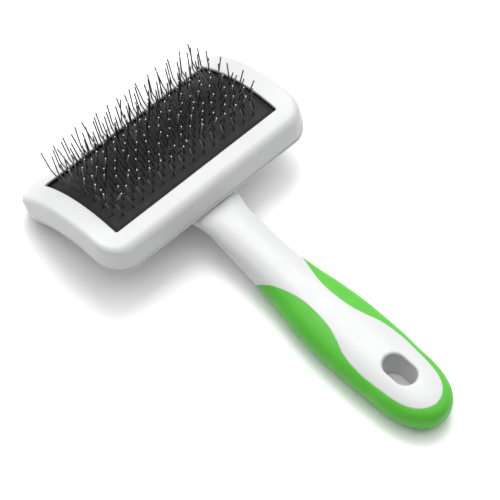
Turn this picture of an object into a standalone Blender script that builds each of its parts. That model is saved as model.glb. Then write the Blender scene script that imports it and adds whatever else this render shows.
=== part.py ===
"""Slicker brush: a curved, framed pin pad on a neck and a soft-grip handle.

World frame, in metres.  The brush lies on its back with the pins up, as it is
put down on a table: +Z is up and Z = 0 is the table, the handle runs toward -Y,
X runs along the long side of the head, and the brush is a mirror image of
itself about the plane X = 0.  The origin is the centre of the footprint.

The head is modelled in its own frame (the empty "head_frame").  There the top
of the bezel is a piece of a cylinder whose axis is parallel to X: depths "r"
are measured radially below that cylinder, so every layer is concentric.
"""
import math

import bmesh
import bpy
from mathutils import Vector

MM = 0.001

# ---- driving dimensions, in millimetres and degrees ------------------------
HEAD_RADIUS = 72.6            # radius of the bezel's arched top surface
HEAD_TILT = 17.6              # the head leans back by this angle when the brush rests
HEAD_Y, HEAD_Z = 70.427, 29.38  # crown of the arch above the footprint's centre

HEAD_HALF = (57.2, 34.9)      # half length and half width of the head
HEAD_SHIFT = 1.4              # the frame is this much off the window's centre, away from the handle
HEAD_CORNER = 11.0            # plan radius of its corners
WINDOW_HALF = (46.25, 24.8)   # half size of the bezel's window
LIP_DEPTH = 1.35              # thickness of the lip around the window
SEAM_DEPTH = 9.6              # where the bezel's skirt ends
HEAD_DEPTH = 12.0             # full thickness of the head's edge
GAP = 0.3                     # clearance between neighbouring pieces

PAD_HALF = (50.0, 28.6)
RUBBER = (1.65, 2.95)         # radial depth of the top and bottom of each layer
CLOTH = (3.25, 3.95)
CROWN = (4.25, 4.80)          # the staples' crown wires
FOAM = (5.10, 9.60)
FLOOR = 9.9                   # inside floor of the back shell

WIRE = 0.55                   # pin wire
ROWS = 14
ROW_PITCH = 2.99              # along the arc
FIRST_ROW = -19.7             # arc position of the row nearest the handle
PIN_PITCH = 5.8               # along the row; every other row is half a pitch over
PINS_SHORT, PINS_LONG = 14, 15
LOWER_LEG, UPPER_LEG = 7.3, 10.9
LOWER_LEAN, UPPER_LEAN = 27.0, -18.0   # away from and back toward the handle
UPPER_EASE = 4.0              # the farthest row's upper legs lean back this much less
SPLAY = 0.12                  # sideways lean of the outermost pins
SLOT = 1.05                   # width of the slot each row of pins stands in

GRIP_SKIN = 2.0               # thickness of the soft overmould
TIP_Y = -172.2                # end of the handle, from the head's crown
CAP_Y = -146.0                # where the handle's round end begins
HANG_HOLE = (-146.3, 5.6, 8.5)   # centre, half width, half length
SCREWS = (-22.0, -6.0)        # screw positions along the head's own Y

# Sections of the handle: position, half width, underside, top.  Positions and
# heights are from the crown of the head and from the table.
SECTIONS = (
    (9.0, 3.6, 10.7, 40), (6.0, 8.4, 10.0, 40), (0.0, 12.2, 9.9, 40),
    (-10.0, 14.2, 10.4, 40), (-20.0, 14.6, 10.6, 40), (-30.0, 13.6, 11.2, 26),
    (-37.5, 12.1, 11.9, 18.8), (-46.0, 10.5, 8.3, 18.7), (-58.5, 10.6, 4.4, 18.0),
    (-78.0, 11.6, 1.1, 17.1), (-88.0, 12.9, 0.2, 16.9), (-97.5, 14.6, -0.2, 16.75),
    (-117.0, 16.3, -0.3, 16.65), (-131.5, 16.4, -0.2, 16.6), (-146.0, 15.7, 0.1, 16.4),
    (-173.0, 15.7, 0.1, 16.2))
SECTION_POWER = 2.4           # 2 would be an ellipse
NECK_Y = -37.5                # where the neck leaves the head
NECK_TOP_DROP = 0.3           # clearance between the neck and the head above it

# Edge of the soft grip: position and the half angle it covers, from straight
# down (0) round to straight up (180).
GRIP_EDGE = (
    (-68.2, 0), (-70.1, 42), (-73.0, 84), (-77.4, 110), (-81.8, 124), (-87.7, 135),
    (-92.5, 141.5), (-98.4, 144.5), (-104.2, 143.5), (-112.0, 138.5), (-118.3, 130),
    (-124.2, 121), (-131.0, 116.5), (-138.8, 114.5), (-148.0, 116), (-157.3, 119.5),
    (-161.0, 123.5), (-163.8, 131), (-165.7, 142), (-166.9, 159), (-167.4, 180))


# ---- helpers ---------------------------------------------------------------
def clear():
    for ob in list(bpy.data.objects):
        bpy.data.objects.remove(ob, do_unlink=True)
    for me in list(bpy.data.meshes):
        bpy.data.meshes.remove(me)
    for ma in list(bpy.data.materials):
        bpy.data.materials.remove(ma)


def material(name, rgb, rough, metal=0.0):
    ma = bpy.data.materials.new(name)
    ma.use_nodes = True
    bsdf = ma.node_tree.nodes["Principled BSDF"]
    bsdf.inputs["Base Color"].default_value = (rgb[0], rgb[1], rgb[2], 1.0)
    bsdf.inputs["Roughness"].default_value = rough
    bsdf.inputs["Metallic"].default_value = metal
    ma.diffuse_color = (rgb[0], rgb[1], rgb[2], 1.0)
    return ma


def curve_value(table, y, col):
    """Smooth monotone interpolation of a column of a table sorted by falling y."""
    n = len(table)
    if y >= table[0][0]:
        return table[0][col]
    if y <= table[-1][0]:
        return table[-1][col]
    for i in range(n - 1):
        if table[i][0] >= y >= table[i + 1][0]:
            break

    def slope(k):
        if k <= 0 or k >= n - 1:
            j = 0 if k <= 0 else n - 2
            return (table[j + 1][col] - table[j][col]) / (table[j + 1][0] - table[j][0])
        h0 = table[k][0] - table[k - 1][0]
        h1 = table[k + 1][0] - table[k][0]
        d0 = (table[k][col] - table[k - 1][col]) / h0
        d1 = (table[k + 1][col] - table[k][col]) / h1
        if d0 * d1 <= 0:
            return 0.0
        w0, w1 = 2 * h1 + h0, h1 + 2 * h0
        return (w0 + w1) / (w0 / d0 + w1 / d1)

    h = table[i + 1][0] - table[i][0]
    t = (y - table[i][0]) / h
    m0, m1 = slope(i) * h, slope(i + 1) * h
    a, b = table[i][col], table[i + 1][col]
    return ((2 * t ** 3 - 3 * t ** 2 + 1) * a + (t ** 3 - 2 * t ** 2 + t) * m0
            + (-2 * t ** 3 + 3 * t ** 2) * b + (t ** 3 - t ** 2) * m1)


class Body:
    """Collects points (merged where they coincide) and faces of one solid."""

    def __init__(self):
        self.verts, self.index, self.faces = [], {}, []

    def point(self, p):
        key = tuple(round(c, 4) for c in p)
        if key not in self.index:
            self.index[key] = len(self.verts)
            self.verts.append(tuple(c * MM for c in p))
        return self.index[key]

    def face(self, pts):
        ids = []
        for p in pts:
            i = self.point(p)
            if not ids or ids[-1] != i:
                ids.append(i)
        while len(ids) > 1 and ids[0] == ids[-1]:
            ids.pop()
        if len(ids) >= 3 and len(set(ids)) == len(ids):
            self.faces.append(ids)

    def build(self, name, mat, parent=None, smooth=35.0):
        me = bpy.data.meshes.new(name)
        me.from_pydata(self.verts, [], self.faces)
        bm = bmesh.new()
        bm.from_mesh(me)
        bmesh.ops.recalc_face_normals(bm, faces=bm.faces)
        if bm.calc_volume(signed=True) < 0:
            bmesh.ops.reverse_faces(bm, faces=bm.faces)
        bmesh.ops.triangulate(bm, faces=bm.faces)
        bm.to_mesh(me)
        bm.free()
        me.materials.append(mat)
        if smooth:
            me.shade_smooth()
            me.set_sharp_from_angle(angle=math.radians(smooth))
        ob = bpy.data.objects.new(name, me)
        bpy.context.scene.collection.objects.link(ob)
        if parent:
            ob.parent = parent
        return ob


def boolean(ob, cutter, how="DIFFERENCE"):
    m = ob.modifiers.new(cutter.name, "BOOLEAN")
    m.operation = how
    m.solver = "EXACT"
    m.object = cutter
    cutter.hide_render = True
    cutter.display_type = "WIRE"
    cutter.hide_set(True)


# ---- the head's curved frame -----------------------------------------------
def on_head(x, y, r):
    """A point at plan position x, y and radial depth r below the top surface."""
    rad = HEAD_RADIUS - r
    return (x, y, math.sqrt(rad * rad - y * y) - HEAD_RADIUS)


def half_loop(hx, hy, rc, r, shift=0.0, corner=5, side=8):
    """The +X half of a rounded rectangle, from its -Y end to its +Y end."""
    pts = []
    for k in range(corner + 1):
        a = math.radians(-90 + 90 * k / corner)
        pts.append((hx - rc + rc * math.cos(a), -hy + rc + rc * math.sin(a)))
    for k in range(1, side):
        pts.append((hx, (-1 + 2 * k / side) * (hy - rc)))
    for k in range(corner + 1):
        a = math.radians(90 * k / corner)
        pts.append((hx - rc + rc * math.cos(a), hy - rc + rc * math.sin(a)))
    return [on_head(x, y + shift, r) for x, y in pts]


def loop(hx, hy, rc, r, shift=0.0):
    half = half_loop(hx, hy, rc, r, shift)
    return half + [(-x, y, z) for x, y, z in reversed(half)]


def skin(body, loops):
    for a, b in zip(loops, loops[1:]):
        n = len(a)
        for i in range(n):
            j = (i + 1) % n
            body.face((a[i], a[j], b[j], b[i]))


def deck(body, ring):
    """Close a loop with strips that run straight along X."""
    n = len(ring)
    for i in range(n // 2 - 1):
        a, b = ring[i], ring[i + 1]
        body.face((a, b, (-b[0], b[1], b[2]), (-a[0], a[1], a[2])))


def slab(half, top, bottom, rc=3.0):
    body = Body()
    a, b = loop(half[0], half[1], rc, top), loop(half[0], half[1], rc, bottom)
    skin(body, [a, b])
    deck(body, a)
    deck(body, b)
    return body


def cylinder_between(name, y, r0, r1, radius, parent, sides=16):
    """A round cutter or boss on the screw axis at head position y, by depth."""
    z0, z1 = -r0, -r1
    body = Body()
    rings = []
    for z in (z0, z1):
        rings.append([(radius * math.cos(2 * math.pi * (k + 0.31) / sides),
                       y + radius * math.sin(2 * math.pi * (k + 0.31) / sides), z)
                      for k in range(sides)])
    skin(body, rings)
    body.face(rings[0])
    body.face(rings[1])
    return body.build(name, MAT["cutter"], parent)


# ---- the handle ------------------------------------------------------------
def arch_height(y):
    """Height of the head's underside above the table, at y from the crown."""
    tilt = math.radians(HEAD_TILT)
    cy, cz = -HEAD_RADIUS * math.sin(tilt), HEAD_Z - HEAD_RADIUS * math.cos(tilt)
    rad = HEAD_RADIUS - HEAD_DEPTH
    return cz + math.sqrt(max(0.0, rad * rad - (y - cy) ** 2))


def handle_point(y, angle, inset=0.0):
    """A point of the handle's section at y, at this angle from straight down."""
    half = curve_value(SECTIONS, y, 1)
    low = curve_value(SECTIONS, y, 2)
    high = curve_value(SECTIONS, y, 3)
    mid, roof = 0.5 * (low + high), 60.0
    if y > NECK_Y:                # under the head the neck's top follows the arch
        roof = arch_height(y) - NECK_TOP_DROP
        high, mid = min(high, roof + 3.0), 0.5 * (low + roof)
    down, up = mid - low, high - mid
    if y < CAP_Y:
        u = min(1.0, (CAP_Y - y) / (CAP_Y - TIP_Y))
        s = max(0.0, 1 - u ** 2.3) ** (1 / 2.3)
        half, down, up = half * s, down * s ** 0.5, up * s ** 0.5
    a = math.radians(angle)
    sx, cz = math.sin(a), -math.cos(a)
    tall = up if cz > 0 else down
    rad = (abs(sx / max(half, 1e-3)) ** SECTION_POWER
           + abs(cz / max(tall, 1e-3)) ** SECTION_POWER) ** (-1 / SECTION_POWER)
    x, z = rad * sx, mid + rad * cz
    if z < 0:
        x, z = x * mid / (mid - z), 0.0
    if z > roof:
        z = roof
    if inset:
        d = math.hypot(x, z - mid)
        k = max(0.0, d - inset) / max(d, 1e-6)
        x, z = x * k, mid + (z - mid) * k
    return (x, y, z)


def grip_angle(y, clear_of=0.0):
    first, last = GRIP_EDGE[0][0], GRIP_EDGE[-1][0]
    if clear_of == 0.0:
        if y >= first:
            return 0.0
        if y <= last:
            return 180.0
        return curve_value(GRIP_EDGE, y, 1)
    if y >= first - clear_of:
        return 0.0
    if y <= last - clear_of:
        return 180.0
    g = min(curve_value(GRIP_EDGE, y + d, 1) for d in (-clear_of, 0.0, clear_of))
    return max(0.0, g - math.degrees(clear_of / 14.0))


def white_arc(y, g, count=12):
    return [handle_point(y, g + (360 - 2 * g) * k / count) for k in range(count + 1)]


def soft_arc(y, g, inset, count=12):
    return [handle_point(y, -g + 2 * g * k / count, inset) for k in range(count + 1)]


GRIP_Y = (-68.8, -69.8, -71.0, -72.2, -73.8, -76.0, -78.5, -82, -86, -90, -95, -101, -107, -113,
          -119, -125, -131, -138, -145, -151, -156, -160.5, -163.5, -165.4, -166.4, -167.0)


def strip(body, a, b):
    for i in range(len(a) - 1):
        body.face((a[i], a[i + 1], b[i + 1], b[i]))


def make_handle_core(frame):
    stations = [9.0, 7.6, 5.0, 0.0, -7.0, -14.0, -21.0, -28.0, -34.0, NECK_Y, -41.5, -46.0, -52.0,
                -58.5, -64.0, GRIP_EDGE[0][0]] + list(GRIP_Y) + [GRIP_EDGE[-1][0], -168.4, -169.5]
    body = Body()
    deep = GRIP_SKIN + 1.5 * GAP
    prev = None
    for y in stations:
        g = grip_angle(y)
        hard = white_arc(y, g) if g < 180 else [handle_point(y, 180)] * 13
        soft = soft_arc(y, g, deep) if y <= GRIP_EDGE[0][0] else None
        if prev:
            ph, ps, pg = prev
            if not (pg == 180 and g == 180):
                strip(body, ph, hard)
            if soft and ps:
                strip(body, ps, soft)
                if not (pg == 180 and g == 180):
                    body.face((ph[0], hard[0], soft[-1], ps[-1]))
                    body.face((ph[-1], hard[-1], soft[0], ps[0]))
        prev = (hard, soft, g)
    body.face(white_arc(stations[0], 0.0)[:-1])
    body.face(soft_arc(stations[-1], 180.0, deep)[:-1])
    return body.build("handle_core", MAT["white"], frame, 40)


def make_grip(frame):
    edge_gap = 1.5 * GAP
    first, last = GRIP_EDGE[0][0] - edge_gap, GRIP_EDGE[-1][0] - edge_gap
    stations = [first] + list(GRIP_Y) + [last, -168.4, -169.3]
    body = Body()
    prev = None
    for y in stations:
        g = grip_angle(y, edge_gap)
        out, ins = soft_arc(y, g, 0.0), soft_arc(y, g, GRIP_SKIN)
        if prev:
            po, pi, pg = prev
            strip(body, po, out)
            strip(body, pi, ins)
            if not (pg == 180 and g == 180):
                body.face((po[0], out[0], ins[0], pi[0]))
                body.face((po[-1], out[-1], ins[-1], pi[-1]))
        prev = (out, ins, g)
    y_in = -170.0
    end = soft_arc(y_in, 180.0, GRIP_SKIN)
    strip(body, prev[1], end)
    body.face(end[:-1])
    out = prev[0]
    for y in (y_in, -171.2, -171.9):
        ring = soft_arc(y, 180.0, 0.0)
        strip(body, out, ring)
        out = ring
    body.face(out[:-1])
    return body.build("grip_overmould", MAT["green"], frame, 50)


def hang_hole_shape(name, grow, low, high, frame):
    """The hanging hole's slot shape, grown sideways, between two heights."""
    yc, w, l = HANG_HOLE[0], HANG_HOLE[1] + grow, HANG_HOLE[2] + grow
    body, rings = Body(), []
    for z in (low, high):
        ring = []
        for k in range(24):
            a = 2 * math.pi * (k + 0.31) / 24
            ring.append((w * math.cos(a), yc + (l - w) * (1 if math.sin(a) >= 0 else -1)
                         + w * math.sin(a), z))
        rings.append(ring)
    skin(body, rings)
    body.face(rings[0])
    body.face(rings[1])
    return body.build(name, MAT["cutter"], frame)


# ---- pieces of the head ----------------------------------------------------
def make_bezel(head):
    hx, hy = HEAD_HALF
    wx, wy = WINDOW_HALF
    px, py = PAD_HALF[0] + GAP, PAD_HALF[1] + GAP
    rx, ry = 53.4, 30.7
    loops = [
        loop(hx + 0.8, hy - 1.6, HEAD_CORNER + 0.6, SEAM_DEPTH, 0.3),
        loop(hx, hy, HEAD_CORNER, 2.4, HEAD_SHIFT),
        loop(hx - 0.25, hy - 0.25, HEAD_CORNER - 0.25, 1.2, HEAD_SHIFT),
        loop(hx - 1.0, hy - 1.0, HEAD_CORNER - 1.0, 0.35, HEAD_SHIFT),
        loop(hx - 2.2, hy - 2.2, HEAD_CORNER - 2.2, 0.0, HEAD_SHIFT),
        loop(wx + 0.4, wy + 0.4, 1.2, 0.0),
        loop(wx, wy, 0.8, 0.35),
        loop(wx, wy, 0.8, LIP_DEPTH),
        loop(px, py, 3.3, LIP_DEPTH),
        loop(px, py, 3.3, 5.7),
        loop(rx, ry, 7.0, 5.7),
        loop(rx, ry, 7.0, SEAM_DEPTH)]
    body = Body()
    skin(body, loops + [loops[0]])
    return body.build("head_bezel", MAT["white"], head, 30)


def make_back_shell(head):
    px, py = PAD_HALF[0] + 0.6, PAD_HALF[1] + GAP
    rx, ry = 53.1, 30.4
    bottom = loop(56.7, 31.5, 11.0, HEAD_DEPTH)
    floor = loop(px, py, 3.6, FLOOR)
    loops = [bottom,
             loop(57.5, 32.4, 11.6, HEAD_DEPTH - 0.8),
             loop(57.7, 32.9, 11.7, FLOOR, 0.2),
             loop(rx, ry, 6.7, FLOOR),
             loop(rx, ry, 6.7, 6.0),
             loop(px, py, 3.6, 6.0),
             floor]
    body = Body()
    skin(body, loops)
    deck(body, bottom)
    deck(body, floor)
    shell = body.build("head_back_shell", MAT["white"], head, 30)
    for i, y in enumerate(SCREWS):
        under = HEAD_RADIUS - math.sqrt((HEAD_RADIUS - HEAD_DEPTH) ** 2 - y * y)
        boss = cylinder_between("boss_%d" % (i + 1), y, under - 1.0, under + 3.5, 3.3, head)
        boolean(shell, boss, "UNION")
        bore = cylinder_between("bore_%d" % (i + 1), y, under - 1.5, under + 5.0, 1.55, head, 12)
        boolean(shell, bore)
    return shell


def cut_neck_for_screws(core, head):
    for i, y in enumerate(SCREWS):
        under = HEAD_RADIUS - math.sqrt((HEAD_RADIUS - HEAD_DEPTH) ** 2 - y * y)
        boolean(core, cylinder_between("pocket_%d" % (i + 1), y, under - 3.0, under + 3.9, 3.7, head))
        boolean(core, cylinder_between("shank_hole_%d" % (i + 1), y, under, under + 16, 1.8, head, 12))
        boolean(core, cylinder_between("counterbore_%d" % (i + 1), y, under + 6.6, under + 18, 3.5, head))


def make_screw(name, y, head):
    """A pan-head self-tapping screw with a cross recess, head down."""
    under = HEAD_RADIUS - math.sqrt((HEAD_RADIUS - HEAD_DEPTH) ** 2 - y * y)
    seat = -(under + 6.9)
    profile = ((0.0, 0.0), (2.2, 0.0), (2.9, 0.5), (3.05, 1.1), (3.05, 1.7),
               (1.25, 1.7), (1.25, 7.4), (0.0, 8.4))
    sides = 14
    body, rings = Body(), []
    for rad, up in profile[1:-1]:
        z = seat - 1.7 + up
        rings.append([(rad * math.cos(2 * math.pi * k / sides),
                       y + rad * math.sin(2 * math.pi * k / sides), z) for k in range(sides)])
    skin(body, rings)
    body.face(rings[0])
    tip = (0.0, y, seat - 1.7 + profile[-1][1])
    for k in range(sides):
        body.face((rings[-1][k], rings[-1][(k + 1) % sides], tip))
    screw = body.build(name, MAT["steel"], head, 30)
    cross = Body()
    w, l, d = 0.45, 1.7, 1.1
    z0, z1 = seat - 1.7 - 0.5, seat - 1.7 + d
    plan = ((l, -w), (l, w), (w, w), (w, l), (-w, l), (-w, w), (-l, w), (-l, -w),
            (-w, -w), (-w, -l), (w, -l), (w, -w))
    rings = [[(px, y + py, z) for px, py in plan] for z in (z0, z1)]
    skin(cross, rings)
    cross.face(rings[0])
    cross.face(rings[1])
    boolean(screw, cross.build("cross_" + name, MAT["cutter"], head))
    return screw


def row_angle(j):
    return (FIRST_ROW + j * ROW_PITCH) / (HEAD_RADIUS - RUBBER[0])


def row_pins(j):
    n = PINS_SHORT if j % 2 == 0 else PINS_LONG
    return [(i - (n - 1) / 2) * PIN_PITCH for i in range(n)]


def make_pin_row(j, head):
    """One row of staples.  Each pin is bent at a knee; the crown wires that join
    the pins under the cloth are drawn end to end as one wire."""
    th = row_angle(j)
    nrm = Vector((0, math.sin(th), math.cos(th)))
    tan = Vector((0, math.cos(th), -math.sin(th)))
    centre = Vector((0, 0, -HEAD_RADIUS))
    h = WIRE / 2

    def at(x, side, depth):
        return centre + nrm * (HEAD_RADIUS - depth) + tan * side + Vector((x, 0, 0))

    def lean(x, deg):
        a = math.radians(deg)
        return (nrm * math.cos(a) + tan * math.sin(a) + Vector((SPLAY * x / 43.0, 0, 0))).normalized()

    xs = row_pins(j)
    ends = (xs[0] - 1.2, xs[-1] + 1.2)
    body = Body()
    top, bot = CROWN
    for s in (-h, h):                       # the crown wire's long sides
        pts = [at(ends[0], s, bot), at(ends[0], s, top)]
        for x in xs:
            pts += [at(x - h, s, top), at(x + h, s, top)]
        pts += [at(ends[1], s, top), at(ends[1], s, bot)]
        body.face(pts)
    body.face([at(ends[0], -h, bot), at(ends[0], h, bot), at(ends[1], h, bot), at(ends[1], -h, bot)])
    for x in ends:
        body.face([at(x, -h, bot), at(x, h, bot), at(x, h, top), at(x, -h, top)])
    edge = ends[0]
    for x in xs:
        body.face([at(edge, -h, top), at(x - h, -h, top), at(x - h, h, top), at(edge, h, top)])
        edge = x + h
        base = [at(x - h, -h, top), at(x + h, -h, top), at(x + h, h, top), at(x - h, h, top)]
        up = nrm * (top - RUBBER[0] + GAP)
        low = lean(x, LOWER_LEAN) * LOWER_LEG
        high = lean(x, UPPER_LEAN + UPPER_EASE * j / (ROWS - 1)) * UPPER_LEG
        rings = [base]
        for step in (up, low, high):
            rings.append([p + step for p in rings[-1]])
        skin(body, rings)
        body.face(rings[-1])
    body.face([at(edge, -h, top), at(ends[1], -h, top), at(ends[1], h, top), at(edge, h, top)])
    return body.build("pin_row_%02d" % (j + 1), MAT["wire"], head, 30)


def slot_cutter(name, r0, r1, head):
    body = Body()
    for j in range(ROWS):
        th = row_angle(j)
        nrm = Vector((0, math.sin(th), math.cos(th)))
        tan = Vector((0, math.cos(th), -math.sin(th)))
        centre = Vector((0, 0, -HEAD_RADIUS))
        reach = row_pins(j)[-1] + 1.9
        rings = []
        for depth in (r0, r1):
            rings.append([tuple(centre + nrm * (HEAD_RADIUS - depth) + tan * s + Vector((x, 0, 0)))
                          for x, s in ((-reach, -SLOT / 2), (reach, -SLOT / 2),
                                       (reach, SLOT / 2), (-reach, SLOT / 2))])
        skin(body, rings)
        body.face(rings[0])
        body.face(rings[1])
    return body.build(name, MAT["cutter"], head, 0)


# ---- assembly --------------------------------------------------------------
clear()
MAT = {
    "white": material("white_abs", (0.86, 0.87, 0.87), 0.32),
    "green": material("green_tpe", (0.135, 0.52, 0.045), 0.52),
    "rubber": material("black_rubber", (0.018, 0.018, 0.019), 0.6),
    "cloth": material("foundation_cloth", (0.33, 0.29, 0.24), 0.95),
    "foam": material("grey_foam", (0.20, 0.20, 0.21), 0.95),
    "wire": material("pin_wire", (0.50, 0.50, 0.51), 0.3, 1.0),
    "steel": material("zinc_screw", (0.62, 0.62, 0.60), 0.38, 1.0),
    "cutter": material("cutter", (1.0, 0.2, 0.2), 0.5),
}

head_frame = bpy.data.objects.new("head_frame", None)
bpy.context.scene.collection.objects.link(head_frame)
head_frame.location = (0.0, HEAD_Y * MM, HEAD_Z * MM)
head_frame.rotation_euler = (math.radians(-HEAD_TILT), 0.0, 0.0)

handle_frame = bpy.data.objects.new("handle_frame", None)
bpy.context.scene.collection.objects.link(handle_frame)
handle_frame.location = (0.0, HEAD_Y * MM, 0.0)

make_bezel(head_frame)
make_back_shell(head_frame)

rubber = slab(PAD_HALF, *RUBBER).build("pad_rubber_face", MAT["rubber"], head_frame, 30)
boolean(rubber, slot_cutter("slots_in_rubber", 0.9, 3.6, head_frame))
cloth = slab(PAD_HALF, *CLOTH).build("pad_cloth_foundation", MAT["cloth"], head_frame, 30)
boolean(cloth, slot_cutter("slots_in_cloth", 2.6, 4.5, head_frame))
slab((PAD_HALF[0] - 0.2, PAD_HALF[1] - 0.2), *FOAM).build("pad_foam_cushion", MAT["foam"], head_frame, 30)

for row in range(ROWS):
    make_pin_row(row, head_frame)

core = make_handle_core(handle_frame)
grip = make_grip(handle_frame)
boolean(core, hang_hole_shape("hole_sleeve", 1.2, 0.5, 6.0, handle_frame), "UNION")
boolean(core, hang_hole_shape("cut_hang_hole", 0.0, -3.0, 22.0, handle_frame))
boolean(grip, hang_hole_shape("cut_grip_hole", 1.5, -3.0, 10.0, handle_frame))
cut_neck_for_screws(core, head_frame)
make_screw("neck_screw_rear", SCREWS[0], head_frame)
make_screw("neck_screw_front", SCREWS[1], head_frame)
bpy.context.view_layer.update()
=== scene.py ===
import math
import random

import bmesh
import bpy
import numpy as np
from mathutils import Matrix, Vector


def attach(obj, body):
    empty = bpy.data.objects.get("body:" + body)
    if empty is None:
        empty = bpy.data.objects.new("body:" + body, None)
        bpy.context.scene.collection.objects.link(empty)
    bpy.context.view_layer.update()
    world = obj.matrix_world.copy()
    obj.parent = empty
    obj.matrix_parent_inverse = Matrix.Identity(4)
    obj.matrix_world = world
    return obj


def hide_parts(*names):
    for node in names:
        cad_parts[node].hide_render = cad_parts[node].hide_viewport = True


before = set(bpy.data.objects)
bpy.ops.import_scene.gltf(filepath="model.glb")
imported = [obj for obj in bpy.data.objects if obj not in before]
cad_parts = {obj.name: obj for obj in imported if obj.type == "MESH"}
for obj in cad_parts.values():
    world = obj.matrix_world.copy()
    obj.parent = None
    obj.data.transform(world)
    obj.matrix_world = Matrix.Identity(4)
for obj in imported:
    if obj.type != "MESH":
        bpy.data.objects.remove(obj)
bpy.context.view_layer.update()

MM = 0.001
random.seed(7)

# ---- dimensions shared with the frame, in millimetres and degrees ----------
HEAD_RADIUS, HEAD_TILT = 72.6, 17.6
HEAD_Y, HEAD_Z = 70.427, 29.38
HEAD_HALF, HEAD_CORNER, HEAD_SHIFT = (57.2, 34.9), 11.0, 1.4
WINDOW_HALF = (46.25, 24.8)
LIP_DEPTH, SEAM_DEPTH, HEAD_DEPTH = 1.35, 9.6, 12.0
PAD_HALF = (50.0, 28.6)
RUBBER, CLOTH, FOAM = (1.65, 2.95), (3.25, 3.95), (5.10, 9.60)
FLOOR = 9.9
WIRE = 0.55
ROWS, ROW_PITCH, FIRST_ROW, PIN_PITCH = 14, 2.99, -19.7, 5.8
LOWER_LEG, UPPER_LEG = 7.3, 10.9
LOWER_LEAN, UPPER_LEAN, UPPER_EASE = 27.0, -18.0, 4.0
SPLAY = 0.12
GRIP_SKIN = 2.0
TIP_Y, CAP_Y = -172.2, -146.0
HOLE_Y, HOLE_W, HOLE_L = -146.3, 5.2, 8.1
SCREWS = (-22.0, -6.0)
SECTIONS = (
    (9.0, 3.6, 10.7, 40), (6.0, 8.4, 10.0, 40), (0.0, 12.2, 9.9, 40),
    (-10.0, 14.2, 10.4, 40), (-20.0, 14.6, 10.6, 40), (-30.0, 13.6, 11.2, 26),
    (-37.5, 12.1, 11.9, 18.8), (-46.0, 10.5, 8.3, 18.7), (-58.5, 10.6, 4.4, 18.0),
    (-78.0, 11.6, 1.1, 17.1), (-88.0, 12.9, 0.2, 16.9), (-97.5, 14.6, -0.2, 16.75),
    (-117.0, 16.3, -0.3, 16.65), (-131.5, 16.4, -0.2, 16.6), (-146.0, 15.7, 0.1, 16.4),
    (-173.0, 15.7, 0.1, 16.2))
SECTION_POWER, NECK_Y, NECK_TOP_DROP = 2.4, -37.5, 0.3
GRIP_EDGE = (
    (-68.2, 0), (-70.1, 42), (-73.0, 84), (-77.4, 110), (-81.8, 124), (-87.7, 135),
    (-92.5, 141.5), (-98.4, 144.5), (-104.2, 143.5), (-112.0, 138.5), (-118.3, 130),
    (-124.2, 121), (-131.0, 116.5), (-138.8, 114.5), (-148.0, 116), (-157.3, 119.5),
    (-161.0, 123.5), (-163.8, 131), (-165.7, 142), (-166.9, 159), (-167.4, 180))

TILT = math.radians(HEAD_TILT)
CT, ST = math.cos(TILT), math.sin(TILT)


def head_to_world(p):
    """Head frame to the row frame, millimetres in, metres out."""
    x, y, z = p
    return (x * MM, (HEAD_Y + y * CT + z * ST) * MM, (HEAD_Z - y * ST + z * CT) * MM)


def handle_to_world(p):
    return (p[0] * MM, (HEAD_Y + p[1]) * MM, p[2] * MM)


# ---- materials ---------------------------------------------------------------
def new_material(name):
    ma = bpy.data.materials.new(name)
    ma.use_nodes = True
    nt = ma.node_tree
    bsdf = nt.nodes["Principled BSDF"]
    tc = nt.nodes.new("ShaderNodeTexCoord")
    return ma, nt, bsdf, tc.outputs["Object"]


def noise(nt, vec, scale, detail=3.0, rough=0.55, stretch=None):
    if stretch:
        mp = nt.nodes.new("ShaderNodeMapping")
        mp.inputs["Scale"].default_value = stretch
        nt.links.new(vec, mp.inputs["Vector"])
        vec = mp.outputs["Vector"]
    n = nt.nodes.new("ShaderNodeTexNoise")
    n.inputs["Scale"].default_value = scale
    n.inputs["Detail"].default_value = detail
    n.inputs["Roughness"].default_value = rough
    nt.links.new(vec, n.inputs["Vector"])
    return n.outputs["Fac"]


def ramp(nt, fac, stops):
    r = nt.nodes.new("ShaderNodeValToRGB")
    el = r.color_ramp.elements
    while len(el) < len(stops):
        el.new(0.5)
    for e, (pos, col) in zip(el, stops):
        e.position = pos
        e.color = (col[0], col[1], col[2], 1.0)
    nt.links.new(fac, r.inputs["Fac"])
    return r.outputs["Color"]


def remap(nt, fac, lo, hi, src=(0.3, 0.7)):
    m = nt.nodes.new("ShaderNodeMapRange")
    m.inputs["From Min"].default_value = src[0]
    m.inputs["From Max"].default_value = src[1]
    m.inputs["To Min"].default_value = lo
    m.inputs["To Max"].default_value = hi
    nt.links.new(fac, m.inputs["Value"])
    return m.outputs["Result"]


def bump(nt, bsdf, height, strength, distance, previous=None):
    b = nt.nodes.new("ShaderNodeBump")
    b.inputs["Strength"].default_value = strength
    b.inputs["Distance"].default_value = distance
    nt.links.new(height, b.inputs["Height"])
    if previous is not None:
        nt.links.new(previous, b.inputs["Normal"])
    nt.links.new(b.outputs["Normal"], bsdf.inputs["Normal"])
    return b.outputs["Normal"]


def plastic_white():
    """Satin moulded plastic: faint flow clouding, fine spark-eroded grain, hairline scuffs."""
    ma, nt, bsdf, co = new_material("white_abs_moulded")
    cloud = noise(nt, co, 38.0, 4.0)
    nt.links.new(ramp(nt, cloud, [(0.30, (0.550, 0.552, 0.554)), (0.70, (0.578, 0.580, 0.581))]),
                 bsdf.inputs["Base Color"])
    grain = noise(nt, co, 5200.0, 2.0)
    scuff = noise(nt, co, 900.0, 5.0, 0.7, (1.0, 0.12, 1.0))
    nt.links.new(remap(nt, scuff, 0.30, 0.42), bsdf.inputs["Roughness"])
    n = bump(nt, bsdf, grain, 0.10, 0.00004)
    bump(nt, bsdf, scuff, 0.05, 0.00003, n)
    bsdf.inputs["Specular IOR Level"].default_value = 0.42
    return ma


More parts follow.
